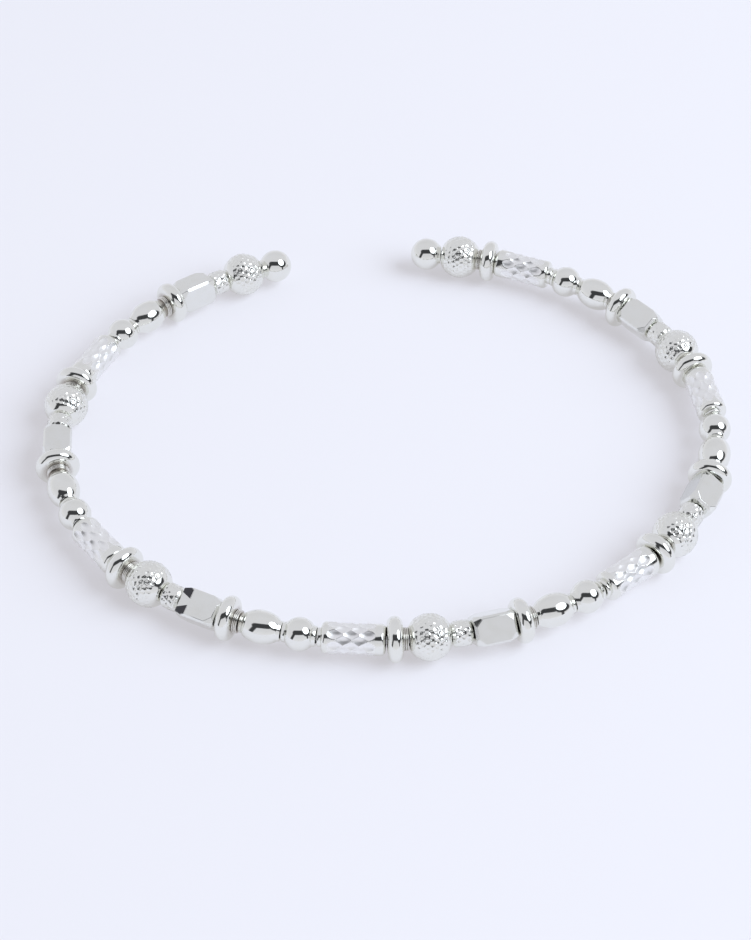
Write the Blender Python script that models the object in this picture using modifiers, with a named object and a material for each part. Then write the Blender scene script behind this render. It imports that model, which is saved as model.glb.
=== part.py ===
"""Open bangle: drilled silver beads on a stiff C-shaped core wire, lying on its side."""
import math
from bisect import bisect_left

import bmesh
import bpy
from mathutils import Matrix, Vector

MM = 0.001

# Core wire: an oval open at the back, its gap a little to the left of the middle
OVAL_HALF_LENGTH = 30.85 * MM
OVAL_HALF_WIDTH = 25.8 * MM
GAP_SHIFT = 1.55 * MM
WIRE_DIAMETER = 0.9 * MM
WIRE_POINT_COUNT = 64

# Bores, and the play between neighbouring beads
BORE_DIAMETER = 1.4 * MM
BORE_SIDES = 12
BEAD_GAP = 0.24 * MM

# Necks that finish the bores of the plain beads
NECK_DIAMETER = 1.8 * MM

# End balls
END_BALL_DIAMETER = 3.2 * MM
END_BALL_LENGTH = 2.95 * MM
WIRE_END_PLAY = 0.3 * MM

# Large balls with a diamond-cut band
CUT_BALL_DIAMETER = 4.2 * MM
CUT_BALL_LENGTH = 3.4 * MM
CUT_BALL_BAND = 2.5 * MM
CUT_BALL_DEPTH = 0.12 * MM
CUT_BALL_SIDES = 16
CUT_BALL_ROWS = 4

# Spacers: a large rounded disc beside a small ring
DISC_DIAMETER = 4.1 * MM
DISC_THICKNESS = 1.25 * MM
RING_DIAMETER = 2.1 * MM
RING_THICKNESS = 0.4 * MM
GROOVE_DIAMETER = 1.8 * MM
SPACER_SIDES = 12
DISC_STEPS = 5
RING_STEPS = 3

# Tubes with staggered scale-shaped cuts between plain bands
TUBE_DIAMETER = 2.8 * MM
TUBE_LENGTH = 5.8 * MM
TUBE_END_ROUNDING = 0.4 * MM
SCALE_PITCH = 1.37 * MM
SCALE_COUNT = 3
SCALE_ROWS = 16
SCALE_DEPTH = 0.13 * MM

# Plain round balls
BALL_DIAMETER = 3.0 * MM
BALL_LENGTH = 2.82 * MM

# Plain oval beads
OLIVE_DIAMETER = 3.0 * MM
OLIVE_BODY_LENGTH = 3.2 * MM
OLIVE_LENGTH = 3.55 * MM

# Square tablets with their corners cut off
TABLET_WIDTH = 2.65 * MM
TABLET_LENGTH = 3.55 * MM
TABLET_EDGE = 0.26 * MM
TABLET_CORNER_CUT = 0.9 * MM

# Small diamond-cut spacers
CUT_SPACER_DIAMETER = 2.35 * MM
CUT_SPACER_LENGTH = 1.65 * MM
CUT_SPACER_BAND = 1.1 * MM
CUT_SPACER_DEPTH = 0.08 * MM
CUT_SPACER_SIDES = 12
CUT_SPACER_ROWS = 2

PLAIN_SIDES = 12
ROUND_STEPS = 3
WELD_DISTANCE = 0.001 * MM
SMOOTH_ANGLE = math.radians(40.0)

# Beads of one unit, clockwise seen from above, and how often the unit repeats
UNIT = ("cut_ball", "ring_spacer", "scale_tube", "round_ball",
        "oval_bead", "ring_spacer", "tablet", "cut_spacer")
UNIT_COUNT = 6

# Turn of each tablet about the wire in degrees: 0 has a flat side on top, 45 has an edge there
TABLET_TURNS = (31.0, 54.0, 40.0, 62.0, 8.0, -12.0)

# Derived sizes
AXIS_HEIGHT = max(CUT_BALL_DIAMETER, DISC_DIAMETER, END_BALL_DIAMETER) / 2
BORE_RADIUS = BORE_DIAMETER / 2
NECK_RADIUS = NECK_DIAMETER / 2
SILVER = (0.86, 0.87, 0.88, 1.0)
STEEL = (0.6, 0.6, 0.61, 1.0)


def clear_scene():
    """Empties the scene of objects."""
    for item in list(bpy.data.objects):
        bpy.data.objects.remove(item, do_unlink=True)


def new_collection(name):
    """A collection linked to the scene."""
    collection = bpy.data.collections.new(name)
    bpy.context.scene.collection.children.link(collection)
    return collection


def metal(name, roughness, color=SILVER):
    """A polished metal with its own roughness."""
    material = bpy.data.materials.new(name)
    material.use_nodes = True
    shader = material.node_tree.nodes["Principled BSDF"]
    shader.inputs["Base Color"].default_value = color
    shader.inputs["Metallic"].default_value = 1.0
    shader.inputs["Roughness"].default_value = roughness
    return material


def oval_point(angle):
    """A point of the wire's oval at the height of the bead axes."""
    return Vector((OVAL_HALF_LENGTH * math.cos(angle), OVAL_HALF_WIDTH * math.sin(angle), AXIS_HEIGHT))


def measure_oval(samples=2000):
    """Angles round the oval, clockwise from the back, and the run along it to each."""
    angles = [math.pi / 2 - 2 * math.pi * i / samples for i in range(samples + 1)]
    runs = [0.0]
    for before, after in zip(angles, angles[1:]):
        runs.append(runs[-1] + (oval_point(after) - oval_point(before)).length)
    return angles, runs


OVAL_ANGLES, OVAL_RUNS = measure_oval()


def wire_point(run):
    """The point of the wire at a run along the oval, clockwise from its back."""
    run = run % OVAL_RUNS[-1]
    after = max(1, bisect_left(OVAL_RUNS, run))
    share = (run - OVAL_RUNS[after - 1]) / (OVAL_RUNS[after] - OVAL_RUNS[after - 1])
    return oval_point(OVAL_ANGLES[after - 1] + share * (OVAL_ANGLES[after] - OVAL_ANGLES[after - 1]))


def mirrored(outer):
    """A closed profile from the upper half of an outer side, mirrored down, with the bore inside it."""
    lower = [(radius, -height) for radius, height in reversed(outer) if height > WELD_DISTANCE]
    end = outer[0][1]
    return [(BORE_RADIUS, end)] + outer + lower + [(BORE_RADIUS, -end)]


def arc_points(radius, half_length, first, last, steps):
    """Points of an elliptic arc between two angles from its widest place, as (radius, height)."""
    points = []
    for step in range(steps + 1):
        angle = first + (last - first) * step / steps
        points.append((radius * math.cos(angle), half_length * math.sin(angle)))
    return points


def turned(name, profile, sides, closed=True):
    """A solid turned about Z from a profile of (radius, height) points, its outer side running down."""
    mesh = bpy.data.meshes.new(name)
    points = [(radius, 0.0, height) for radius, height in profile]
    edges = [(i, i + 1) for i in range(len(points) - 1)]
    if closed:
        edges.append((len(points) - 1, 0))
    mesh.from_pydata(points, edges, [])
    solid = bpy.data.objects.new(name, mesh)
    bpy.context.scene.collection.objects.link(solid)
    screw = solid.modifiers.new("turn", "SCREW")
    screw.axis = "Z"
    screw.angle = 2 * math.pi
    screw.steps = sides
    screw.render_steps = sides
    screw.use_merge_vertices = True
    screw.merge_threshold = WELD_DISTANCE
    return solid


def finished_mesh(solid):
    """The mesh that an object's modifiers make; the object itself is removed."""
    solid_view = solid.evaluated_get(bpy.context.evaluated_depsgraph_get())
    mesh = bpy.data.meshes.new_from_object(solid_view)
    mesh.name = solid.name
    mesh.shade_smooth()
    mesh.set_sharp_from_angle(angle=SMOOTH_ANGLE)
    bpy.data.objects.remove(solid, do_unlink=True)
    return mesh


def press_pattern(mesh, sides, heights, depth, is_low):
    """Moves in the vertices of the rings at some heights wherever the pattern is low, and leaves ridges."""
    solid = bmesh.new()
    solid.from_mesh(mesh)
    for vertex in solid.verts:
        radius = math.hypot(vertex.co.x, vertex.co.y)
        column = round(math.atan2(vertex.co.y, vertex.co.x) * sides / (2 * math.pi)) % sides
        for row, height in enumerate(heights):
            if abs(vertex.co.z - height) < WELD_DISTANCE and is_low(column, row):
                vertex.co.x *= (radius - depth) / radius
                vertex.co.y *= (radius - depth) / radius
    bmesh.ops.triangulate(solid, faces=solid.faces, quad_method="LONG_EDGE")
    solid.to_mesh(mesh)
    solid.free()


def cut_bead_mesh(name, diameter, length, band, rows, sides, depth):
    """A ball with flat drilled ends and a band of staggered facets round its middle."""
    radius = diameter / 2
    end = length / 2
    heights = [band / 2 - band * row / rows for row in range(rows + 1)]
    shoulder = (end + band / 2) / 2
    levels = [end, shoulder] + heights + [-shoulder, -end]
    outer = [(math.sqrt(radius ** 2 - level ** 2), level) for level in levels]
    mesh = finished_mesh(turned(name, [(BORE_RADIUS, end)] + outer + [(BORE_RADIUS, -end)], sides))

    def is_low(column, row):
        return (column + row + rows // 2) % 2 == 1

    press_pattern(mesh, sides, heights, depth, is_low)
    return mesh


def ring_spacer_mesh():
    """A small ring below and a large rounded disc above, with a groove between them."""
    half = (DISC_THICKNESS + RING_THICKNESS) / 2
    rounding = DISC_THICKNESS / 2
    disc = DISC_DIAMETER / 2
    ring = RING_DIAMETER / 2
    groove = GROOVE_DIAMETER / 2
    seam = RING_THICKNESS - half
    disc_middle = half - rounding
    ring_middle = (seam - half) / 2
    profile = [(BORE_RADIUS, half)]
    for out, up in arc_points(rounding, rounding, math.pi / 2, -math.pi / 2, DISC_STEPS):
        profile.append((disc - rounding + out, disc_middle + up))
    for out, up in arc_points(ring - groove, RING_THICKNESS / 2, math.pi / 2, -math.pi / 2, RING_STEPS):
        profile.append((groove + out, ring_middle + up))
    profile.append((BORE_RADIUS, -half))
    return finished_mesh(turned("ring_spacer", profile, SPACER_SIDES))


def scale_tube_mesh():
    """A tube whose middle has rows of staggered scale-shaped cuts, with a plain band at each end."""
    radius = TUBE_DIAMETER / 2
    end = TUBE_LENGTH / 2
    steps = 2 * SCALE_COUNT
    heights = [SCALE_PITCH * (SCALE_COUNT / 2 - step / 2) for step in range(steps + 1)]
    corner = arc_points(TUBE_END_ROUNDING, TUBE_END_ROUNDING, math.pi / 2, 0.0, 2)
    rounding = [(radius - TUBE_END_ROUNDING + out, end - TUBE_END_ROUNDING + up) for out, up in corner]
    upper = rounding + [(radius, height) for height in heights if height > -WELD_DISTANCE]
    mesh = finished_mesh(turned("scale_tube", mirrored(upper), SCALE_ROWS))

    def is_scooped(column, row):
        return 0 < row < steps and (column + row) % 2 == 1

    press_pattern(mesh, SCALE_ROWS, heights, SCALE_DEPTH, is_scooped)
    return mesh


def round_ball_mesh():
    """A plain ball with a short neck at each end of its bore."""
    radius = BALL_DIAMETER / 2
    neck_angle = math.acos(NECK_RADIUS / radius)
    upper = [(NECK_RADIUS, BALL_LENGTH / 2)] + arc_points(radius, radius, neck_angle, 0.0, ROUND_STEPS)
    return finished_mesh(turned("round_ball", mirrored(upper), PLAIN_SIDES))


def oval_bead_mesh():
    """A plain olive with a short neck at each end of its bore."""
    radius = OLIVE_DIAMETER / 2
    neck_angle = math.acos(NECK_RADIUS / radius)
    reach = OLIVE_BODY_LENGTH / 2 / math.sin(neck_angle)
    upper = [(NECK_RADIUS, OLIVE_LENGTH / 2)] + arc_points(radius, reach, neck_angle, 0.0, ROUND_STEPS)
    return finished_mesh(turned("oval_bead", mirrored(upper), PLAIN_SIDES))


def end_ball_mesh():
    """A plain ball with a neck and a blind bore on its upper side."""
    radius = END_BALL_DIAMETER / 2
    end = END_BALL_LENGTH - radius
    neck_angle = math.acos(NECK_RADIUS / radius)
    bore = [(0.0, 0.0), (BORE_RADIUS, 0.0), (BORE_RADIUS, end)]
    ball = arc_points(radius, radius, neck_angle, -math.pi / 2, 2 * ROUND_STEPS + 1)
    profile = bore + [(NECK_RADIUS, end)] + ball[:-1] + [(0.0, -radius)]
    return finished_mesh(turned("end_ball", profile, PLAIN_SIDES, closed=False))


def cut_corners(solid):
    """Cuts the eight corners of a bar off with slanting planes."""
    half = Vector((TABLET_WIDTH / 2, TABLET_WIDTH / 2, TABLET_LENGTH / 2))
    for signs in [(x, y, z) for x in (-1, 1) for y in (-1, 1) for z in (-1, 1)]:
        normal = Vector(signs).normalized()
        corner = Vector([size * sign for size, sign in zip(half, signs)])
        point = corner - Vector((signs[0] * TABLET_CORNER_CUT, 0.0, 0.0))
        geometry = solid.verts[:] + solid.edges[:] + solid.faces[:]
        cut = bmesh.ops.bisect_plane(solid, geom=geometry, plane_co=point, plane_no=normal, clear_outer=True)
        rim = [item for item in cut["geom_cut"] if isinstance(item, bmesh.types.BMEdge)]
        bmesh.ops.holes_fill(solid, edges=rim)


def tablet_mesh(cutters):
    """A square bar with narrow bevels along its edges, cut corners and a bore."""
    bar = bmesh.new()
    bmesh.ops.create_cube(bar, size=1.0)
    bmesh.ops.scale(bar, verts=bar.verts, vec=(TABLET_WIDTH, TABLET_WIDTH, TABLET_LENGTH))
    bmesh.ops.bevel(bar, geom=bar.edges[:], offset=TABLET_EDGE, segments=1, affect="EDGES")
    cut_corners(bar)
    mesh = bpy.data.meshes.new("tablet")
    bar.to_mesh(mesh)
    bar.free()
    tablet = bpy.data.objects.new("tablet", mesh)
    bpy.context.scene.collection.objects.link(tablet)
    drill_length = 2 * TABLET_LENGTH
    bpy.ops.mesh.primitive_cylinder_add(vertices=BORE_SIDES, radius=BORE_RADIUS, depth=drill_length)
    drill = bpy.context.object
    drill.name = "tablet_drill"
    drill.hide_render = True
    drill.display_type = "WIRE"
    for collection in list(drill.users_collection):
        collection.objects.unlink(drill)
    cutters.objects.link(drill)
    bore = tablet.modifiers.new("bore", "BOOLEAN")
    bore.object = drill
    bore.solver = "EXACT"
    bpy.context.view_layer.update()
    return finished_mesh(tablet)


def thread(bead, start, length, turn=0.0, flipped=False):
    """Puts a bead on the wire from a run along it, its Z axis along the wire and its Y axis upwards."""
    first = wire_point(start)
    last = wire_point(start + length)
    middle = wire_point(start + length / 2)
    up = Vector((0.0, 0.0, 1.0))
    along = (last - first).normalized()
    outward = up.cross(along)
    frame = Matrix((outward, up, along)).transposed()
    frame = frame @ Matrix.Rotation(turn, 3, "Z")
    if flipped:
        frame = frame @ Matrix.Rotation(math.pi, 3, "X")
    bead.location = ((first + last) / 2 + middle) / 2
    bead.rotation_euler = frame.to_euler()


def add_bead(name, mesh, material, parts, carrier):
    """A bead of its own that shares its mesh with the others of its kind."""
    bead = bpy.data.objects.new(name, mesh)
    if not mesh.materials:
        mesh.materials.append(material)
    parts.objects.link(bead)
    bead.parent = carrier
    return bead


def core_wire(first_run, last_run, material, parts, carrier):
    """The stiff wire through all the beads."""
    curve = bpy.data.curves.new("core_wire", "CURVE")
    curve.dimensions = "3D"
    curve.bevel_depth = WIRE_DIAMETER / 2
    curve.bevel_resolution = 2
    curve.use_fill_caps = True
    spline = curve.splines.new("POLY")
    spline.points.add(WIRE_POINT_COUNT - 1)
    for index, point in enumerate(spline.points):
        run = first_run + (last_run - first_run) * index / (WIRE_POINT_COUNT - 1)
        point.co = (*wire_point(run), 1.0)
    curve.materials.append(material)
    wire = bpy.data.objects.new("core_wire", curve)
    parts.objects.link(wire)
    wire.parent = carrier


def rest_on_origin(parts, carrier):
    """Moves the carrier so that the origin lies under the middle of the bangle, where it rests."""
    bpy.context.view_layer.update()
    corners = []
    for item in parts.objects:
        if item.type == "MESH":
            corners += [item.matrix_world @ vertex.co for vertex in item.data.vertices]
    low = Vector([min(corner[axis] for corner in corners) for axis in range(3)])
    high = Vector([max(corner[axis] for corner in corners) for axis in range(3)])
    carrier.location = (-(low.x + high.x) / 2, -(low.y + high.y) / 2, -low.z)


def bead_kinds(cutters):
    """Mesh, length and material of each kind of bead."""
    cut_ball = cut_bead_mesh("cut_ball", CUT_BALL_DIAMETER, CUT_BALL_LENGTH, CUT_BALL_BAND, CUT_BALL_ROWS,
                             CUT_BALL_SIDES, CUT_BALL_DEPTH)
    cut_spacer = cut_bead_mesh("cut_spacer", CUT_SPACER_DIAMETER, CUT_SPACER_LENGTH, CUT_SPACER_BAND,
                               CUT_SPACER_ROWS, CUT_SPACER_SIDES, CUT_SPACER_DEPTH)
    polished = metal("polished_silver", 0.08)
    faceted = metal("diamond_cut_silver", 0.12)
    return {
        "end_ball": (end_ball_mesh(), END_BALL_LENGTH, polished),
        "cut_ball": (cut_ball, CUT_BALL_LENGTH, faceted),
        "ring_spacer": (ring_spacer_mesh(), DISC_THICKNESS + RING_THICKNESS, polished),
        "scale_tube": (scale_tube_mesh(), TUBE_LENGTH, metal("scale_cut_silver", 0.15)),
        "round_ball": (round_ball_mesh(), BALL_LENGTH, polished),
        "oval_bead": (oval_bead_mesh(), OLIVE_LENGTH, polished),
        "tablet": (tablet_mesh(cutters), TABLET_LENGTH, metal("tablet_silver", 0.1)),
        "cut_spacer": (cut_spacer, CUT_SPACER_LENGTH, faceted),
    }


def build():
    """Threads the beads one after another along the wire."""
    clear_scene()
    parts = new_collection("beaded_bangle")
    cutters = new_collection("cutters")
    carrier = bpy.data.objects.new("bangle_middle", None)
    parts.objects.link(carrier)
    kinds = bead_kinds(cutters)
    order = ["end_ball"] + list(UNIT) * UNIT_COUNT + [UNIT[0], "end_ball"]
    total = sum(kinds[kind][1] for kind in order) + BEAD_GAP * (len(order) - 1)
    gap = OVAL_RUNS[-1] - total
    run = gap / 2 - GAP_SHIFT
    first_run = run + END_BALL_DIAMETER / 2 + WIRE_END_PLAY
    counts = {}
    for position, kind in enumerate(order):
        mesh, length, material = kinds[kind]
        counts[kind] = counts.get(kind, 0) + 1
        name = f"{kind}_{counts[kind]}"
        turn = 0.0
        if kind == "end_ball":
            name = "end_ball_right" if position == 0 else "end_ball_left"
        if kind == "tablet":
            turn = math.radians(TABLET_TURNS[counts[kind] - 1])
        bead = add_bead(name, mesh, material, parts, carrier)
        thread(bead, run, length, turn, flipped=kind == "end_ball" and position > 0)
        run += length + BEAD_GAP
    last_run = run - BEAD_GAP - END_BALL_DIAMETER / 2 - WIRE_END_PLAY
    steel = metal("wire_steel", 0.25, STEEL)
    core_wire(first_run, last_run, steel, parts, carrier)
    rest_on_origin(parts, carrier)


build()
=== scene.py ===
"""Looks of the open beaded bangle: fine beads, silver, a pale board, light and camera."""
import math
import random
from bisect import bisect_left

import bmesh
import bpy
from mathutils import Matrix, Vector


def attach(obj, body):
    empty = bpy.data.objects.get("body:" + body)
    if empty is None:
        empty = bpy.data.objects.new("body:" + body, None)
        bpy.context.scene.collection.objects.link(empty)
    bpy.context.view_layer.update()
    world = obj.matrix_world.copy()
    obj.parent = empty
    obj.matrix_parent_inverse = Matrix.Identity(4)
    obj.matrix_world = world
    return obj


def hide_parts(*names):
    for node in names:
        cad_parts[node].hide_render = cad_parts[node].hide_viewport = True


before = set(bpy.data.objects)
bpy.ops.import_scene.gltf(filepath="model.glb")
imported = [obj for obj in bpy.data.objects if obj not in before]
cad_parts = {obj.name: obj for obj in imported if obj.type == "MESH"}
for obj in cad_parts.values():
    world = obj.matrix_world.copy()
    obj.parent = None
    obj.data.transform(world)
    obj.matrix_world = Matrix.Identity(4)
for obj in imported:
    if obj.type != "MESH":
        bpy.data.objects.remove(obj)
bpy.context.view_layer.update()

MM = 0.001

# The wire's oval and the run of the beads along it, in millimetres
OVAL_HALF_LENGTH = 30.85
OVAL_HALF_WIDTH = 25.8
OVAL_STEPS = 2000
GAP_SHIFT = 1.55
AXIS_HEIGHT = 2.1
OVAL_MIDDLE = Vector((0.227, 0.495, 0.0))
BEAD_GAP = 0.24
BORE_RADIUS = 0.62
UNIT = ("cut_ball", "ring_spacer", "scale_tube", "round_ball",
        "oval_bead", "ring_spacer", "tablet", "cut_spacer")
UNIT_COUNT = 6
LENGTHS = {"end_ball": 2.95, "cut_ball": 3.4, "ring_spacer": 1.65, "scale_tube": 5.8,
           "round_ball": 2.82, "oval_bead": 3.55, "tablet": 3.55, "cut_spacer": 1.65}

# How much longer than its solid each fine bead is, so that neighbours nearly touch
BEAD_REACH = 0.2

# How far beads are turned about the wire, in degrees
TABLET_TURNS = (31.0, 54.0, 40.0, 62.0, 8.0, -12.0)
TUBE_TURNS = (0.0, 10.0, 20.0, 17.5, 30.0, 5.0)
CUT_BEAD_TURN = 137.5

# The tablet with an end slope; the tablet with one side painted darker as shade, that side in its own axes,
# and how much shade is painted on it
SLOPED_TABLET = 4
SHADED_SIDE_TABLET = 2
SHADED_SIDE = Vector((0.0, 1.0, 0.0))
SIDE_SHADE_TONE = 0.25

# Camera, fitted to the beads' places in the photograph, in radians, millimetres and pixels
CAMERA_ELEVATION = math.radians(45.20)
CAMERA_AZIMUTH = math.radians(4.61)
CAMERA_DISTANCE = 217.24
CAMERA_AIM = (-1.055, -3.176)
FOCAL_PIXELS = 2322.7
IMAGE_WIDTH = 751
SENSOR_WIDTH = 36.0


def oval_point(angle):
    """A point of the wire's middle line, in millimetres from the oval's middle."""
    return Vector((OVAL_HALF_LENGTH * math.cos(angle), OVAL_HALF_WIDTH * math.sin(angle), AXIS_HEIGHT))


OVAL_ANGLES = [math.pi / 2 - 2 * math.pi * step / OVAL_STEPS for step in range(OVAL_STEPS + 1)]
OVAL_RUNS = [0.0]
for first_angle, next_angle in zip(OVAL_ANGLES, OVAL_ANGLES[1:]):
    OVAL_RUNS.append(OVAL_RUNS[-1] + (oval_point(next_angle) - oval_point(first_angle)).length)


def wire_point(run):
    """The point of the wire at a run along the oval, clockwise from its back."""
    after = max(1, bisect_left(OVAL_RUNS, run % OVAL_RUNS[-1]))
    share = (run % OVAL_RUNS[-1] - OVAL_RUNS[after - 1]) / (OVAL_RUNS[after] - OVAL_RUNS[after - 1])
    return oval_point(OVAL_ANGLES[after - 1] + share * (OVAL_ANGLES[after] - OVAL_ANGLES[after - 1]))


def bead_frame(start, length, turn=0.0, flipped=False):
    """Place of a bead on the wire: its Z axis along the wire and its Y axis upwards."""
    first = wire_point(start)
    last = wire_point(start + length)
    middle = wire_point(start + length / 2)
    up = Vector((0.0, 0.0, 1.0))
    along = (last - first).normalized()
    turned = Matrix((up.cross(along), up, along)).transposed().to_4x4() @ Matrix.Rotation(turn, 4, "Z")
    if flipped:
        turned = turned @ Matrix.Rotation(math.pi, 4, "X")
    place = ((first + last) / 2 + middle) / 2 + OVAL_MIDDLE
    return Matrix.Scale(MM, 4) @ Matrix.Translation(place) @ turned


def threaded_beads():
    """Name, kind, number and place of each bead, in order."""
    order = ["end_ball"] + list(UNIT) * UNIT_COUNT + [UNIT[0], "end_ball"]
    total = sum(LENGTHS[kind] for kind in order) + BEAD_GAP * (len(order) - 1)
    run = (OVAL_RUNS[-1] - total) / 2 - GAP_SHIFT
    counts = {}
    beads = []
    for position, kind in enumerate(order):
        counts[kind] = counts.get(kind, 0) + 1
        name = f"{kind}_{counts[kind]}"
        turn = 0.0
        if kind == "end_ball":
            name = "end_ball_right" if position == 0 else "end_ball_left"
        if kind == "tablet":
            turn = math.radians(TABLET_TURNS[counts[kind] - 1])
        flipped = kind == "end_ball" and position > 0
        beads.append((name, kind, counts[kind], bead_frame(run, LENGTHS[kind], turn, flipped)))
        run += LENGTHS[kind] + BEAD_GAP
    return beads


# Turned forms, in millimetres, each about its own middle and with its Z axis along the wire


def arc(center, radii, first, last, steps):
    """Points (radius, height) of an elliptic arc, its angles in degrees from the outward direction."""
    points = []
    for step in range(steps + 1):
        angle = math.radians(first + (last - first) * step / steps)
        points.append((center[0] + radii[0] * math.cos(angle), center[1] + radii[1] * math.sin(angle)))
    return points


def lathe(profile, sides, push=None):
    """A turned body from a closed profile of (radius, height) points, its outer side running down.

    push(angle, height, radius) may give a change of radius, and for each point a level from 0 to 1 that
    marks its recesses and painted shade."""
    body = bmesh.new()
    recess_and_shade = body.verts.layers.float.new("recess_and_shade")
    rings = []
    for radius, height in profile:
        if radius < 1e-6:
            rings.append([body.verts.new((0.0, 0.0, height))])
            continue
        ring = []
        for side in range(sides):
            angle = 2 * math.pi * side / sides
            change, recess_and_shade_level = push(angle, height, radius) if push else (0.0, 0.0)
            pushed = radius + change
            vertex = body.verts.new((pushed * math.cos(angle), pushed * math.sin(angle), height))
            vertex[recess_and_shade] = recess_and_shade_level
            ring.append(vertex)
        rings.append(ring)
    pairs = list(zip(rings, rings[1:]))
    if len(rings[0]) > 1:
        pairs.append((rings[-1], rings[0]))
    for upper, lower in pairs:
        for side in range(sides):
            after = (side + 1) % sides
            corners = [upper[side % len(upper)], lower[side % len(lower)],
                       lower[after % len(lower)], upper[after % len(upper)]]
            corners = list(dict.fromkeys(corners))
            if len(corners) > 2:
                body.faces.new(corners)
    bmesh.ops.recalc_face_normals(body, faces=body.faces[:])
    return body


def to_mesh(body, name, smooth_degrees):
    """A mesh from a body, shaded smooth up to an angle."""
    mesh = bpy.data.meshes.new(name)
    body.to_mesh(mesh)
    body.free()
    mesh.shade_smooth()
    mesh.set_sharp_from_angle(angle=math.radians(smooth_degrees))
    return mesh


def with_bore(outer):
    """A closed profile from an outer side, with the bore's wall inside it."""
    top = outer[0][1]
    bottom = outer[-1][1]
    return [(BORE_RADIUS, top)] + outer + [(BORE_RADIUS, bottom)]


def both_halves(upper):
    """An outer side from its upper half, which ends at the middle."""
    return upper + [(radius, -height) for radius, height in reversed(upper[:-1])]


def half_length(kind):
    """Half the length of a fine bead."""
    return LENGTHS[kind] / 2 + BEAD_REACH / 2


# Diamond-cut balls and spacers

# How far a hollow may be off its regular place, in steps and in sizes, and its share of the depth
HOLLOW_SLIP = 0.07
HOLLOW_LIFT = 0.12
HOLLOW_SHARES = (0.8, 1.2)
HOLLOW_SEED = 7


def hollows(rows, spread, count, size, depth, seed):
    """A push that presses staggered rows of round hollows, each a little off its regular place.

    The rows lie within a spread of the middle, in degrees; each has a count of hollows."""
    draw = random.Random(seed)
    step = 2 * math.pi / count
    slips = [[(draw.uniform(-HOLLOW_SLIP, HOLLOW_SLIP), draw.uniform(-HOLLOW_LIFT, HOLLOW_LIFT),
               draw.uniform(*HOLLOW_SHARES))
              for column in range(count)] for row in range(rows)]
    farthest = (1 + HOLLOW_LIFT) * size

    def push(angle, height, radius):
        latitude = math.atan2(height, radius)
        away = math.hypot(height, radius)
        deepest = 0.0
        for row in range(rows):
            up = (latitude - math.radians(spread) * (2 * row / (rows - 1) - 1)) * away
            if abs(up) > farthest:
                continue
            column = round(angle / step - 0.5 * (row % 2))
            slip, lift, share = slips[row][column % count]
            across = (angle - (column + 0.5 * (row % 2) + slip) * step) * radius
            up -= lift * size
            deepest = max(deepest, share * (1.0 - (across ** 2 + up ** 2) / size ** 2))
        return -depth * deepest, deepest

    return push


def cut_ball_body(variant):
    """A ball with smooth polished caps and a wide band of small bright-cut hollows."""
    radius = 2.1
    lip_width = 0.14
    lip_height = 0.08
    band = 42.0
    end = half_length("cut_ball")
    last = math.degrees(math.asin((end - lip_height) / radius))
    upper = [(radius * math.cos(math.radians(last)) - lip_width, end)]
    upper += arc((0.0, 0.0), (radius, radius), last, band, steps=6)[:-1]
    upper += arc((0.0, 0.0), (radius, radius), band, 0.0, steps=36)
    cuts = hollows(rows=7, spread=33.0, count=26, size=0.29, depth=0.088, seed=HOLLOW_SEED + variant)
    return lathe(with_bore(both_halves(upper)), sides=208, push=cuts)


def cut_spacer_body(variant):
    """A short drum with rounded ends and small bright-cut hollows all round."""
    radius = 1.175
    rounding = (0.4, 0.5)
    end = half_length("cut_spacer")
    upper = arc((radius - rounding[0], end - rounding[1]), rounding, 90.0, 0.0, steps=16)
    upper += [(radius, 0.2), (radius, 0.1), (radius, 0.0)]
    cuts = hollows(rows=5, spread=38.0, count=17, size=0.24, depth=0.09, seed=HOLLOW_SEED + variant)
    return lathe(with_bore(both_halves(upper)), sides=144, push=cuts)


# Plain turned beads

PLAIN_SIDES = 96


def end_ball_body():
    """A polished ball whose neck runs to the first cut ball."""
    radius = 1.6
    neck = 0.9
    neck_chamfer = 0.05
    shoulder = 0.06
    bore_end = 0.3
    end = LENGTHS["end_ball"] - radius + BEAD_REACH / 2
    start = math.degrees(math.acos((neck + shoulder) / radius))
    outer = [(neck - neck_chamfer, end), (neck, end - neck_chamfer)]
    outer += arc((0.0, 0.0), (radius, radius), start, -90.0, steps=40)[:-1]
    profile = [(0.0, bore_end), (BORE_RADIUS, bore_end), (BORE_RADIUS, end)] + outer + [(0.0, -radius)]
    return lathe(profile, PLAIN_SIDES)


def round_ball_body():
    """A polished ball with a short neck at each end."""
    radius = 1.5
    neck = 0.88
    neck_chamfer = 0.06
    shoulder = 0.05
    end = half_length("round_ball")
    start = math.degrees(math.acos((neck + shoulder) / radius))
    upper = [(neck - neck_chamfer, end), (neck, end - neck_chamfer)]
    upper += arc((0.0, 0.0), (radius, radius), start, 0.0, steps=24)
    return lathe(with_bore(both_halves(upper)), PLAIN_SIDES)


def oval_bead_body():
    """A polished olive with a short neck at each end."""
    radius = 1.5
    neck = 0.9
    neck_chamfer = 0.06
    shoulder = 0.05
    neck_foot = 1.6
    end = half_length("oval_bead")
    start = math.degrees(math.acos((neck + shoulder) / radius))
    reach = neck_foot / math.sin(math.radians(start))
    upper = [(neck - neck_chamfer, end), (neck, end - neck_chamfer)]
    upper += arc((0.0, 0.0), (radius, reach), start, 0.0, steps=28)
    return lathe(with_bore(both_halves(upper)), PLAIN_SIDES)


# The fine rings: the radius at the foot of the grooves, and how far the rings stand out of them
RING_FLOOR = 0.92
RING_RISE = 0.13
RING_COUNT = 3

# Tarnish, and in the grooves painted shade too: its tone on the rings, the radius where it has faded out on
# the disc, the height above a groove's foot where it starts to fill in, and the widths of both changes
RING_TONE = 0.3
RING_TONE_END = 1.3
RING_TONE_FADE = 0.2
GROOVE_TONE_START = 0.09
GROOVE_TONE_FADE = 0.06


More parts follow.
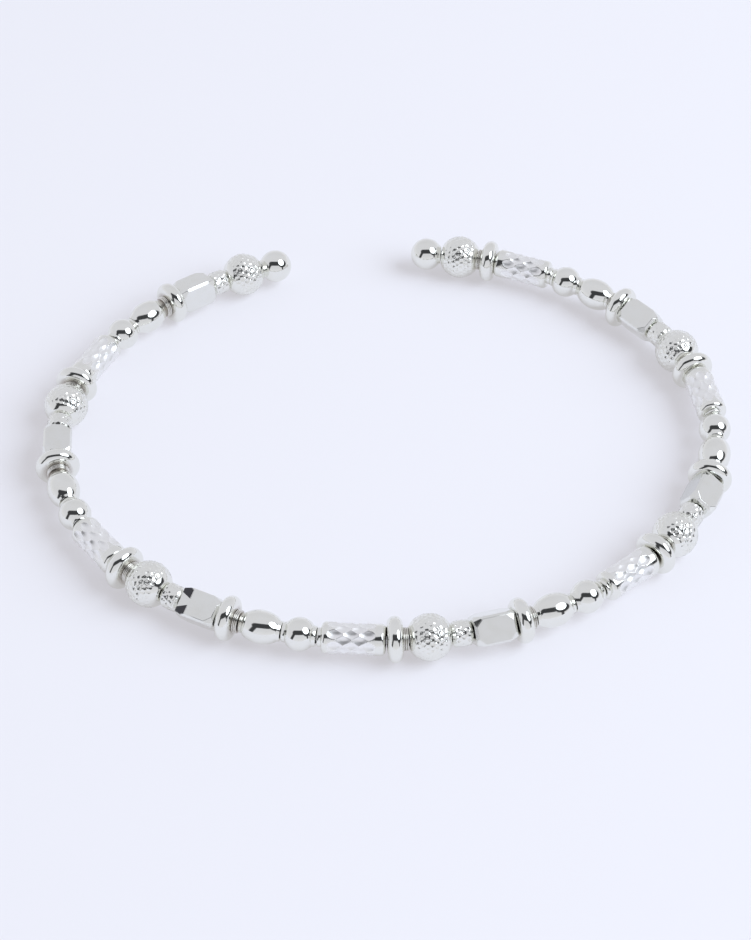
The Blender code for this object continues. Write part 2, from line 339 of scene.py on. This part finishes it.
def tarnish_and_groove_shade(angle, height, radius):
    """No change of radius, and a darkening that is full in the grooves and slight on the rings: tarnish,
    and in the grooves painted shade as well.
    """
    on_rings = max(0.0, min(1.0, (RING_TONE_END - radius) / RING_TONE_FADE))
    in_groove = min(1.0, (RING_FLOOR + GROOVE_TONE_START - radius) / GROOVE_TONE_FADE)
    return 0.0, max(RING_TONE * on_rings, in_groove)


def ring_spacer_body():
    """A rounded disc, and beside it a slender neck of three fine rings, dull and darkened in its grooves by
    tarnish and painted shade.
    """
    disc = 2.05
    rounding = 0.69
    slant = 84.0
    half = half_length("ring_spacer")
    seam = half - 2 * rounding
    pitch = (half + seam) / RING_COUNT
    outer = arc((disc - rounding, half - rounding), (rounding, rounding), 90.0, -slant, steps=28)
    for step in range(RING_COUNT):
        center = (RING_FLOOR, seam - pitch * (step + 0.5))
        outer += arc(center, (RING_RISE, pitch * 0.5), slant, -slant, steps=8)
    return lathe(with_bore(outer), sides=88, push=tarnish_and_groove_shade)


# Tubes with scooped scales, in rows along the wire of three and two in turn

TUBE_RADIUS = 1.4
SCALE_PITCH = 1.37
SCALE_ROWS = 16
SCALE_HALF_LENGTH = 0.72
SCALE_HALF_WIDTH = 0.46
SCALE_DEPTH = 0.19
SCALE_BAND = 2.05
SCALE_TONE = 0.35
SCALE_TONE_RISE = 2.0


def scoop(angle, height, radius):
    """How far the scooped scales lie under the tube's wall at a point, and the recess there."""
    deepest = 0.0
    for row in range(SCALE_ROWS):
        across = (angle - 2 * math.pi * row / SCALE_ROWS + math.pi) % (2 * math.pi) - math.pi
        across *= TUBE_RADIUS / SCALE_HALF_WIDTH
        if abs(across) > 1.0:
            continue
        count = 3 if row % 2 == 0 else 2
        for index in range(count):
            along = (height - (index - (count - 1) / 2) * SCALE_PITCH) / SCALE_HALF_LENGTH
            depth = 1.0 - along ** 2 - across ** 2
            deepest = max(deepest, depth)
    tone = min(1.0, SCALE_TONE + SCALE_TONE_RISE * deepest) if abs(height) < SCALE_BAND else 0.0
    return -SCALE_DEPTH * deepest, tone


def scale_tube_body():
    """A tube with staggered scooped scales between two plain bands, and a neck at its upper end."""
    neck = 0.86
    neck_end = 2.98
    neck_chamfer = 0.06
    upper_end = 2.66
    lower_end = 2.97
    rounding = 0.45
    band = 2.09
    rows = 100
    upper = [(neck - neck_chamfer, neck_end), (neck, neck_end - neck_chamfer), (neck, upper_end)]
    upper += arc((TUBE_RADIUS - rounding, upper_end - rounding), (rounding, rounding), 90.0, 0.0, steps=8)
    middle = [(TUBE_RADIUS, band * (1 - 2 * row / rows)) for row in range(rows + 1)]
    lower = arc((TUBE_RADIUS - rounding, rounding - lower_end), (rounding, rounding), 0.0, -90.0, steps=8)
    return lathe(with_bore(upper + middle + lower), sides=176, push=scoop)


# Tablets

TABLET_WIDTH = 2.65
TABLET_EDGE = 0.2
TABLET_CORNER_CUT = 0.55
TABLET_FACET_CUT = 0.98
TABLET_FACET_SLOPE = 2.4
TABLET_SOFT_EDGE = 0.035
DRILL_SIDES = 48

# The end slope of one tablet: where it starts, its steepness, and the half-width of its bright middle
END_SLOPE_FOOT = half_length("tablet") - 1.05
END_SLOPE = 0.4
END_MIDDLE = 0.3
END_SPREAD = 0.38

# Cosines of the angles within which a face counts as lying along a side or facet, and along the slope
ALONG_SIDE = 0.97
ALONG_SLOPE = 0.985


def slice_off(body, point, normal):
    """Cuts off what lies outside a plane and closes the cut."""
    geometry = body.verts[:] + body.edges[:] + body.faces[:]
    cut = bmesh.ops.bisect_plane(body, geom=geometry, plane_co=point, plane_no=normal, clear_outer=True)
    rim = [item for item in cut["geom_cut"] if isinstance(item, bmesh.types.BMEdge)]
    if rim:
        bmesh.ops.holes_fill(body, edges=rim)


def cut_end_slope(bar):
    """Slopes one side down towards its upper end, and parts the slope's corners from its middle."""
    normal = Vector((1.0, 0.0, END_SLOPE)).normalized()
    slice_off(bar, Vector((TABLET_WIDTH / 2, 0.0, END_SLOPE_FOOT)), normal)
    for side in (-1, 1):
        geometry = bar.verts[:] + bar.edges[:] + bar.faces[:]
        bmesh.ops.bisect_plane(bar, geom=geometry, plane_co=(0.0, side * END_MIDDLE, END_SLOPE_FOOT),
                               plane_no=(0.0, side, -END_SPREAD))


def tablet_body(variant):
    """A square bar with bevelled edges, its eight corners cut off; variant 1 has the end slope."""
    bar = bmesh.new()
    length = LENGTHS["tablet"] + BEAD_REACH
    bmesh.ops.create_cube(bar, size=1.0)
    bmesh.ops.scale(bar, verts=bar.verts, vec=(TABLET_WIDTH, TABLET_WIDTH, length))
    bmesh.ops.bevel(bar, geom=bar.edges[:], offset=TABLET_EDGE, segments=1, affect="EDGES")
    half = Vector((TABLET_WIDTH / 2, TABLET_WIDTH / 2, length / 2))
    slope = TABLET_FACET_SLOPE
    for signs in [(x, y, z) for x in (-1, 1) for y in (-1, 1) for z in (-1, 1)]:
        corner = Vector([size * sign for size, sign in zip(half, signs)])
        for steep_x, steep_y, cut in ((1, 1, TABLET_CORNER_CUT), (slope, 1, TABLET_FACET_CUT),
                                      (1, slope, TABLET_FACET_CUT)):
            normal = Vector((steep_x * signs[0], steep_y * signs[1], signs[2])).normalized()
            slice_off(bar, corner - Vector((0.0, 0.0, signs[2] * cut)), normal)
    if variant:
        cut_end_slope(bar)
    bmesh.ops.bevel(bar, geom=bar.edges[:], offset=TABLET_SOFT_EDGE, segments=3, affect="EDGES",
                    clamp_overlap=True)
    return bar


def drilled(mesh, length):
    """A mesh with a bore along its Z axis."""
    blank = bpy.data.objects.new("blank", mesh)
    bpy.context.scene.collection.objects.link(blank)
    drill_body = bmesh.new()
    bmesh.ops.create_cone(drill_body, cap_ends=True, segments=DRILL_SIDES, radius1=BORE_RADIUS,
                          radius2=BORE_RADIUS, depth=2 * length)
    drill_mesh = bpy.data.meshes.new("drill")
    drill_body.to_mesh(drill_mesh)
    drill_body.free()
    drill = bpy.data.objects.new("drill", drill_mesh)
    bpy.context.scene.collection.objects.link(drill)
    bore = blank.modifiers.new("bore", "BOOLEAN")
    bore.object = drill
    bore.solver = "EXACT"
    bpy.context.view_layer.update()
    result = bpy.data.meshes.new_from_object(blank.evaluated_get(bpy.context.evaluated_depsgraph_get()))
    bpy.data.objects.remove(blank)
    bpy.data.objects.remove(drill)
    return result


def shade_slope_corners(mesh):
    """Paints near-black shade on the two corners of the end slope and on the facets beside them."""
    tone = mesh.attributes.new("recess_and_shade", "FLOAT", "FACE")
    slope = Vector((1.0, 0.0, END_SLOPE)).normalized()
    facets = [Vector((TABLET_FACET_SLOPE, side, 1.0)).normalized() for side in (-1.0, 1.0)]
    for face in mesh.polygons:
        y, z = face.center[1:]
        outside = abs(y) > END_MIDDLE + END_SPREAD * (z - END_SLOPE_FOOT)
        on_slope = face.normal.dot(slope) > ALONG_SLOPE and outside and z > END_SLOPE_FOOT - 0.05
        if on_slope or max(face.normal.dot(facet) for facet in facets) > ALONG_SIDE:
            tone.data[face.index].value = 1.0


def paint_side_shade(mesh, side, tone):
    """Paints shade on one side of a tablet, darkening it."""
    marks = mesh.attributes.new("recess_and_shade", "FLOAT", "FACE")
    for face in mesh.polygons:
        if face.normal.dot(side) > ALONG_SIDE:
            marks.data[face.index].value = tone


# What makes each kind's body, and the angle in degrees up to which it is shaded smooth
KIND_BODIES = {
    "end_ball": (end_ball_body, 35),
    "cut_ball": (cut_ball_body, 60),
    "ring_spacer": (ring_spacer_body, 40),
    "scale_tube": (scale_tube_body, 60),
    "round_ball": (round_ball_body, 35),
    "oval_bead": (oval_bead_body, 35),
    "tablet": (tablet_body, 24),
    "cut_spacer": (cut_spacer_body, 60),
}
CUT_KINDS = ("cut_ball", "cut_spacer")


def bead_mesh(kind, variant):
    """The fine mesh of a bead, in millimetres about its own middle."""
    make, smooth_degrees = KIND_BODIES[kind]
    body = make(variant) if kind in CUT_KINDS or kind == "tablet" else make()
    mesh = to_mesh(body, kind, smooth_degrees)
    if kind == "tablet":
        mesh = drilled(mesh, LENGTHS["tablet"])
        if variant:
            shade_slope_corners(mesh)
        mesh.shade_smooth()
        mesh.set_sharp_from_angle(angle=math.radians(smooth_degrees))
    return mesh


# Materials

# Haze: the scale of its patches, the noise values between which it sets in, and what it does to the tone
HAZE_SCALE = 900.0
HAZE_RANGE = (0.35, 0.7)
HAZE_TONE = (0.95, 0.94, 0.9)

# How strongly the polishing marks show
MARK_STRENGTH = 0.3


def silver(name, color, roughness, grain_scale, grain_depth, haze, recess_and_shade_color=None, recess_haze=0.0):
    """A metal with faint polishing marks and patches of haze, duller in its recesses and tinted by a given
    colour wherever the mesh marks recesses and painted shade.
    """
    material = bpy.data.materials.new(name)
    material.use_nodes = True
    nodes = material.node_tree.nodes
    links = material.node_tree.links
    shader = nodes["Principled BSDF"]
    shader.inputs["Metallic"].default_value = 1.0
    place = nodes.new("ShaderNodeTexCoord")
    clouds = nodes.new("ShaderNodeTexNoise")
    clouds.inputs["Scale"].default_value = HAZE_SCALE
    clouds.inputs["Detail"].default_value = 4.0
    links.new(place.outputs["Object"], clouds.inputs["Vector"])
    rough = nodes.new("ShaderNodeMapRange")
    rough.inputs["From Min"].default_value = HAZE_RANGE[0]
    rough.inputs["From Max"].default_value = HAZE_RANGE[1]
    rough.inputs["To Min"].default_value = roughness
    rough.inputs["To Max"].default_value = roughness + haze
    links.new(clouds.outputs["Fac"], rough.inputs["Value"])
    recess_and_shade_level = nodes.new("ShaderNodeAttribute")
    recess_and_shade_level.attribute_name = "recess_and_shade"
    dull = nodes.new("ShaderNodeMath")
    dull.operation = "MULTIPLY_ADD"
    dull.inputs[1].default_value = recess_haze
    links.new(recess_and_shade_level.outputs["Fac"], dull.inputs[0])
    links.new(rough.outputs["Result"], dull.inputs[2])
    links.new(dull.outputs["Value"], shader.inputs["Roughness"])
    tone = nodes.new("ShaderNodeMix")
    tone.data_type = "RGBA"
    tone.inputs["A"].default_value = (*color, 1.0)
    tone.inputs["B"].default_value = (*[value * share for value, share in zip(color, HAZE_TONE)], 1.0)
    links.new(clouds.outputs["Fac"], tone.inputs["Factor"])
    last = tone.outputs["Result"]
    if recess_and_shade_color:
        recess_and_shade_tint = nodes.new("ShaderNodeMix")
        recess_and_shade_tint.data_type = "RGBA"
        recess_and_shade_tint.inputs["B"].default_value = (*recess_and_shade_color, 1.0)
        links.new(recess_and_shade_level.outputs["Fac"], recess_and_shade_tint.inputs["Factor"])
        links.new(last, recess_and_shade_tint.inputs["A"])
        last = recess_and_shade_tint.outputs["Result"]
    links.new(last, shader.inputs["Base Color"])
    marks = nodes.new("ShaderNodeTexNoise")
    marks.inputs["Scale"].default_value = grain_scale
    marks.inputs["Detail"].default_value = 3.0
    links.new(place.outputs["Object"], marks.inputs["Vector"])
    bump = nodes.new("ShaderNodeBump")
    bump.inputs["Strength"].default_value = MARK_STRENGTH
    bump.inputs["Distance"].default_value = grain_depth
    links.new(marks.outputs["Fac"], bump.inputs["Height"])
    links.new(bump.outputs["Normal"], shader.inputs["Normal"])
    return material


SILVER_TONE = (0.88, 0.888, 0.86)
# Polished silver: its brownish tint is tarnish on the fine rings, and in their grooves it is painted shade
# as well.
polished = silver("polished_silver", SILVER_TONE, roughness=0.045, grain_scale=2200.0, grain_depth=0.000004,
                  haze=0.05, recess_and_shade_color=(0.5, 0.46, 0.42), recess_haze=0.3)
faceted = silver("diamond_cut_silver", SILVER_TONE, roughness=0.04, grain_scale=3000.0,
                 grain_depth=0.000004, haze=0.05, recess_haze=0.19)
scooped = silver("scale_cut_silver", SILVER_TONE, roughness=0.06, grain_scale=2600.0, grain_depth=0.000005,
                 haze=0.06, recess_and_shade_color=(0.93, 0.93, 0.92), recess_haze=0.3)
# Tablet silver: its near-black tint is painted shade, on the sloped tablet's end corners and on one
# tablet's side.
lapped = silver("tablet_silver", (0.85, 0.86, 0.84), roughness=0.09, grain_scale=2600.0,
                grain_depth=0.000006, haze=0.06, recess_and_shade_color=(0.07, 0.07, 0.075))
steel = silver("wire_steel", (0.5, 0.5, 0.5), roughness=0.25, grain_scale=2600.0, grain_depth=0.000006,
               haze=0.1)

# Each kind's material, and the record's slot that it stands for
KIND_LOOKS = {
    "end_ball": (polished, "polished_silver"),
    "cut_ball": (faceted, "diamond_cut_silver"),
    "ring_spacer": (polished, "polished_silver"),
    "scale_tube": (scooped, "scale_cut_silver"),
    "round_ball": (polished, "polished_silver"),
    "oval_bead": (polished, "polished_silver"),
    "tablet": (lapped, "tablet_silver"),
    "cut_spacer": (faceted, "diamond_cut_silver"),
}


def bead_variant(kind, number):
    """Which of its kind's two meshes a bead has."""
    if kind in CUT_KINDS:
        return number % 2
    return 1 if kind == "tablet" and number == SLOPED_TABLET else 0


def add_beads():
    """Puts each fine bead where its solid is."""
    meshes = {}
    for name, kind, number, place in threaded_beads():
        variant = bead_variant(kind, number)
        if (kind, variant) not in meshes:
            meshes[kind, variant] = bead_mesh(kind, variant)
        mesh = meshes[kind, variant].copy()
        if kind == "tablet" and number == SHADED_SIDE_TABLET:
            paint_side_shade(mesh, SHADED_SIDE, SIDE_SHADE_TONE)
        material, slot = KIND_LOOKS[kind]
        if kind in CUT_KINDS:
            place = place @ Matrix.Rotation(math.radians(CUT_BEAD_TURN * number), 4, "Z")
        if kind == "scale_tube":
            place = place @ Matrix.Rotation(math.radians(TUBE_TURNS[number - 1]), 4, "Z")
        mesh.transform(place)
        mesh.materials.clear()
        mesh.materials.append(material)
        bead = bpy.data.objects.new("fine_" + name, mesh)
        bpy.context.scene.collection.objects.link(bead)
        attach(bead, "root")
        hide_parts(name)


def finish_wire():
    """Gives the wire's solid its steel."""
    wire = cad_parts["core_wire"]
    wire.data.materials.clear()
    wire.data.materials.append(steel)


add_beads()
finish_wire()


# Floor

# The board's two tones, its glow near the bangle and far away, and the distances between those
BOARD_TONES = ((0.272, 0.281, 0.311, 1.0), (0.268, 0.277, 0.307, 1.0))
BOARD_GLOWS = ((0.466, 0.453, 0.47, 1.0), (0.62, 0.615, 0.62, 1.0))
GLOW_RISE = (0.12, 1.3)
BOARD_HALF_WIDTH = 4.0
BOARD_CLOUD_SCALE = 8.0


def floor_material():
    """A pale, faintly lavender matt board that glows more towards its edge, to meet the tent."""
    material = bpy.data.materials.new("pale_board")
    material.use_nodes = True
    nodes = material.node_tree.nodes
    links = material.node_tree.links
    shader = nodes["Principled BSDF"]
    shader.inputs["Roughness"].default_value = 0.9
    shader.inputs["Specular IOR Level"].default_value = 0.0
    place = nodes.new("ShaderNodeTexCoord")
    clouds = nodes.new("ShaderNodeTexNoise")
    clouds.inputs["Scale"].default_value = BOARD_CLOUD_SCALE
    links.new(place.outputs["Object"], clouds.inputs["Vector"])
    tone = nodes.new("ShaderNodeMix")
    tone.data_type = "RGBA"
    tone.inputs["A"].default_value = BOARD_TONES[0]
    tone.inputs["B"].default_value = BOARD_TONES[1]
    links.new(clouds.outputs["Fac"], tone.inputs["Factor"])
    links.new(tone.outputs["Result"], shader.inputs["Base Color"])
    away = nodes.new("ShaderNodeVectorMath")
    away.operation = "LENGTH"
    links.new(place.outputs["Object"], away.inputs[0])
    edge = nodes.new("ShaderNodeMapRange")
    edge.interpolation_type = "SMOOTHSTEP"
    edge.inputs["From Min"].default_value = GLOW_RISE[0]
    edge.inputs["From Max"].default_value = GLOW_RISE[1]
    links.new(away.outputs["Value"], edge.inputs["Value"])
    glow = nodes.new("ShaderNodeMix")
    glow.data_type = "RGBA"
    glow.inputs["A"].default_value = BOARD_GLOWS[0]
    glow.inputs["B"].default_value = BOARD_GLOWS[1]
    links.new(edge.outputs["Result"], glow.inputs["Factor"])
    links.new(glow.outputs["Result"], shader.inputs["Emission Color"])
    shader.inputs["Emission Strength"].default_value = 1.0
    return material


def add_floor():
    """A wide board under the bangle."""
    grid = bmesh.new()
    bmesh.ops.create_grid(grid, x_segments=8, y_segments=8, size=BOARD_HALF_WIDTH)
    mesh = bpy.data.meshes.new("board")
    grid.to_mesh(mesh)
    grid.free()
    mesh.materials.append(floor_material())
    board = bpy.data.objects.new("board", mesh)
    bpy.context.scene.collection.objects.link(board)


add_floor()


# Camera


def camera_basis():
    """Right, up and backward directions of the photograph's camera."""
    backward = Vector((-math.sin(CAMERA_AZIMUTH) * math.cos(CAMERA_ELEVATION),
                       -math.cos(CAMERA_AZIMUTH) * math.cos(CAMERA_ELEVATION), math.sin(CAMERA_ELEVATION)))
    right = Vector((math.cos(CAMERA_AZIMUTH), -math.sin(CAMERA_AZIMUTH), 0.0))
    return right, backward.cross(right), backward


def add_camera():
    """The photograph's viewpoint and frame."""
    x = CAMERA_AIM[0]
    y = CAMERA_AIM[1] - CAMERA_DISTANCE * math.cos(CAMERA_ELEVATION)
    z = CAMERA_DISTANCE * math.sin(CAMERA_ELEVATION)
    place = Vector((x * math.cos(CAMERA_AZIMUTH) + y * math.sin(CAMERA_AZIMUTH),
                    y * math.cos(CAMERA_AZIMUTH) - x * math.sin(CAMERA_AZIMUTH), z))
    data = bpy.data.cameras.new("photo_camera")
    data.sensor_fit = "HORIZONTAL"
    data.sensor_width = SENSOR_WIDTH
    data.lens = FOCAL_PIXELS * SENSOR_WIDTH / IMAGE_WIDTH
    data.clip_start = 0.005
    camera = bpy.data.objects.new("photo_camera", data)
    bpy.context.scene.collection.objects.link(camera)
    camera.location = (place + OVAL_MIDDLE) * MM
    camera.rotation_euler = (math.pi / 2 - CAMERA_ELEVATION, 0.0, -CAMERA_AZIMUTH)
    bpy.context.scene.camera = camera


add_camera()


# Light: a pale tent with dark openings towards the viewer, one soft box, and a broad fill


class WorldNodes:
    """Short calls for the maths of the tent's shading."""

    def __init__(self, tree):
        self.tree = tree

    def math(self, operation, first, second=0.0, third=0.0):
        """The result of a maths node on sockets or numbers."""
        node = self.tree.nodes.new("ShaderNodeMath")
        node.operation = operation
        for slot, value in enumerate((first, second, third)):
            if isinstance(value, (int, float)):
                node.inputs[slot].default_value = value
            else:
                self.tree.links.new(value, node.inputs[slot])
        return node.outputs[0]

    def dot(self, vector, direction):
        """How far a vector runs along a direction."""
        node = self.tree.nodes.new("ShaderNodeVectorMath")
        node.operation = "DOT_PRODUCT"
        self.tree.links.new(vector, node.inputs[0])
        node.inputs[1].default_value = direction
        return node.outputs["Value"]

    def length(self, first, second):
        """The length of a vector with two parts."""
        squares = [self.math("MULTIPLY", part, part) for part in (first, second)]
        return self.math("SQRT", self.math("ADD", *squares))

    def step(self, value, start, end):
        """Runs smoothly from 0 at start to 1 at end."""
        node = self.tree.nodes.new("ShaderNodeMapRange")
        node.interpolation_type = "SMOOTHSTEP"
        self.tree.links.new(value, node.inputs["Value"])
        node.inputs["From Min"].default_value = start
        node.inputs["From Max"].default_value = end
        return node.outputs["Result"]

    def mix(self, factor, first, second):
        """The first colour where the factor is 0, and the second where it is 1."""
        node = self.tree.nodes.new("ShaderNodeMix")
        node.data_type = "RGBA"
        self.tree.links.new(factor, node.inputs["Factor"])
        for name, value in (("A", first), ("B", second)):
            if isinstance(value, tuple):
                node.inputs[name].default_value = (*value, 1.0)
            else:
                self.tree.links.new(value, node.inputs[name])
        return node.outputs["Result"]


# Places on the map: u to the right and v up, as a mirror ball shows them to the photograph's camera
SOFT_BOX_PLACE = (0.37, 0.21)
SOFT_BOX_RADIUS = 0.18
CRESCENT_PLACE = (SOFT_BOX_PLACE[0] + 0.06, SOFT_BOX_PLACE[1] - 0.09)
CRESCENT_RADIUS = 0.235
ARCH_LEFT = (-0.25, 0.105)
ARCH_RIGHT = (0.16, 0.105)
ARCH_HALF_WIDTH = 0.13
ARCH_LEFT_FOOT = (-0.45, -0.27)
LEFT_LEG_HALF_WIDTH = 0.075
ARCH_RIGHT_LEG = (0.44, -0.05)
ARCH_RIGHT_FOOT = (0.5, -0.29)
RIGHT_LEG_HALF_WIDTH = 0.045
DARK_SOFTNESS = 0.025
DARK = (0.05, 0.052, 0.057)

# The tent's tones, the heights on the map where its front gives way to its back, and the heights
# above the horizon over which it brightens
TENT_FRONT = (0.74, 0.745, 0.80)
TENT_BACK = (0.72, 0.725, 0.78)
BACK_HEIGHTS = (0.56, 0.68)
TENT_HORIZON = (0.82, 0.825, 0.88)
HORIZON_HEIGHTS = (0.5, -0.05)


def capsule(tent, u, v, start, end, width):
    """1 within a width of the line between two points of the (u, v) map, 0 outside."""
    run = (end[0] - start[0], end[1] - start[1])
    length = math.hypot(*run)
    unit = (run[0] / length, run[1] / length)
    from_u = tent.math("SUBTRACT", u, start[0])
    from_v = tent.math("SUBTRACT", v, start[1])
    along = tent.math("ADD", tent.math("MULTIPLY", from_u, unit[0]), tent.math("MULTIPLY", from_v, unit[1]))
    along = tent.math("MINIMUM", tent.math("MAXIMUM", along, 0.0), length)
    gap_u = tent.math("SUBTRACT", from_u, tent.math("MULTIPLY", along, unit[0]))
    gap_v = tent.math("SUBTRACT", from_v, tent.math("MULTIPLY", along, unit[1]))
    return tent.step(tent.length(gap_u, gap_v), width + DARK_SOFTNESS, width - DARK_SOFTNESS)


def disc_mask(tent, u, v, center, radius):
    """1 within a radius of a point of the (u, v) map, 0 outside."""
    gap_u = tent.math("SUBTRACT", u, center[0])
    gap_v = tent.math("SUBTRACT", v, center[1])
    return tent.step(tent.length(gap_u, gap_v), radius + DARK_SOFTNESS, radius - DARK_SOFTNESS)


def add_world():
    """The tent's inside, drawn on the map of a mirror ball."""
    world = bpy.data.worlds.new("light_tent")
    bpy.context.scene.world = world
    world.use_nodes = True
    tent = WorldNodes(world.node_tree)
    place = world.node_tree.nodes.new("ShaderNodeTexCoord")
    direction = place.outputs["Generated"]
    right, up, backward = camera_basis()
    across = tent.dot(direction, right)
    above = tent.dot(direction, up)
    towards = tent.dot(direction, backward)
    height = tent.dot(direction, Vector((0.0, 0.0, 1.0)))
    spread = tent.math("MULTIPLY", tent.math("ADD", towards, 1.0), 2.0)
    spread = tent.math("SQRT", tent.math("MAXIMUM", spread, 1e-4))
    u = tent.math("DIVIDE", across, spread)
    v = tent.math("DIVIDE", above, spread)
    color = tent.mix(tent.step(v, *BACK_HEIGHTS), TENT_FRONT, TENT_BACK)
    color = tent.mix(tent.step(height, *HORIZON_HEIGHTS), color, TENT_HORIZON)
    color = tent.mix(disc_mask(tent, u, v, CRESCENT_PLACE, CRESCENT_RADIUS), color, DARK)
    for start, end, width in ((ARCH_LEFT, ARCH_RIGHT, ARCH_HALF_WIDTH),
                              (ARCH_LEFT, ARCH_LEFT_FOOT, LEFT_LEG_HALF_WIDTH),
                              (ARCH_RIGHT_LEG, ARCH_RIGHT_FOOT, RIGHT_LEG_HALF_WIDTH)):
        color = tent.mix(capsule(tent, u, v, start, end, width), color, DARK)
    background = world.node_tree.nodes["Background"]
    world.node_tree.links.new(color, background.inputs["Color"])
    background.inputs["Strength"].default_value = 1.0


def map_direction(place):
    """The direction that the mirror ball shows at a place of the map."""
    right, up, backward = camera_basis()
    u, v = place
    depth = math.sqrt(1 - u * u - v * v)
    return (2 * depth * u * right + 2 * depth * v * up + (2 * depth * depth - 1) * backward).normalized()


# The lamps: distances in metres, angles that their radii fill, and power in watts. A step on the map
# turns the mirrored direction by about twice as much.
SOFT_BOX_DISTANCE = 0.7
SOFT_BOX_ANGLE = 2 * SOFT_BOX_RADIUS
SOFT_BOX_POWER = 1.85
FILL_DIRECTION = Vector((0.79, -0.2, 0.57)).normalized()
FILL_DISTANCE = 1.2
FILL_ANGLE = math.radians(27)
FILL_POWER = 26.0
LAMP_TONE = (0.86, 0.92, 1.0)


def add_light(name, direction, distance, radius, power):
    """A round area light facing the bangle, its radius an angle."""
    data = bpy.data.lights.new(name, "AREA")
    data.shape = "DISK"
    data.size = 2 * distance * math.tan(radius)
    data.energy = power
    data.color = LAMP_TONE
    lamp = bpy.data.objects.new(name, data)
    bpy.context.scene.collection.objects.link(lamp)
    lamp.location = direction * distance
    lamp.rotation_euler = direction.to_track_quat("Z", "Y").to_euler()
    return lamp


def add_lights():
    """The soft box that the beads show, and a broad soft fill from the right that they don't."""
    add_light("soft_box", map_direction(SOFT_BOX_PLACE), SOFT_BOX_DISTANCE, SOFT_BOX_ANGLE, SOFT_BOX_POWER)
    fill = add_light("side_fill", FILL_DIRECTION, FILL_DISTANCE, FILL_ANGLE, FILL_POWER)
    fill.visible_glossy = False


add_world()
add_lights()

bpy.context.scene.view_settings.view_transform = "Standard"
